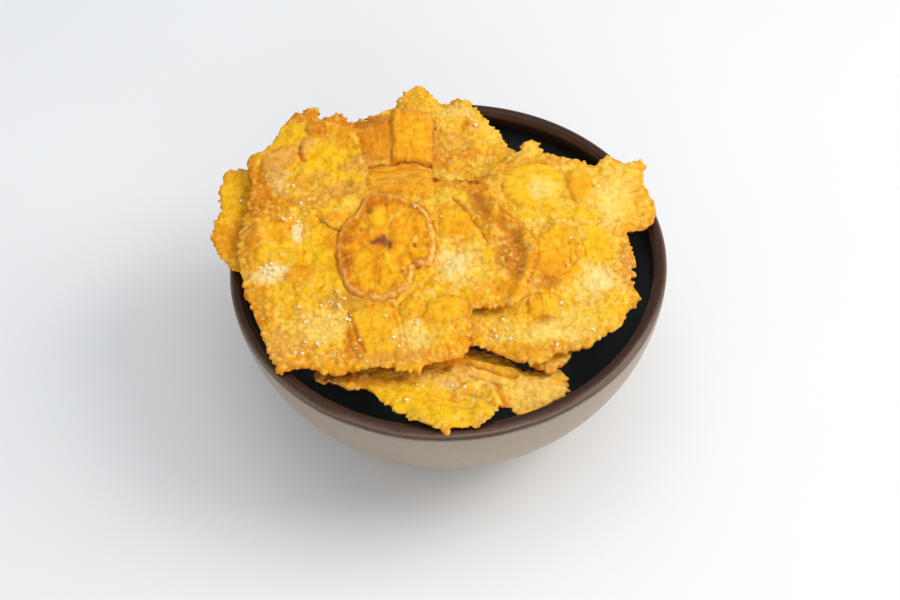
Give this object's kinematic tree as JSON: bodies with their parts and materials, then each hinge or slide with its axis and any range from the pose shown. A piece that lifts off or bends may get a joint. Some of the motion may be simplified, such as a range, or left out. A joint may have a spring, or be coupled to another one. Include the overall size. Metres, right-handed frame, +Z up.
{
  "type": "bowl of tostones",
  "caption": "Small round stoneware bowl piled with large flat fried green plantain patties with ragged golden edges and coarse salt.",
  "frame": {"origin": "centre of the bowl's flat foot, on the table", "axes": "+Z up along the bowl's axis; -Y is the front of the serving, where the front patty leans on the rim; +X is to the right, where the right patty's lobe lies on the rim"},
  "size_m": [0.1661, 0.1676, 0.0781],
  "materials": {
    "stoneware": "near-black glossy glaze inside, brown rim, greige satin glaze outside",
    "plantain": "fried starchy crust, satin with a little oil"
  },
  "bodies": {
    "root": {"bowl": "stoneware", "patty_top": "plantain", "patty_right": "plantain", "patty_front": "plantain", "patty_left": "plantain", "patty_back": "plantain", "patty_under": "plantain"}
  },
  "joints": []
}
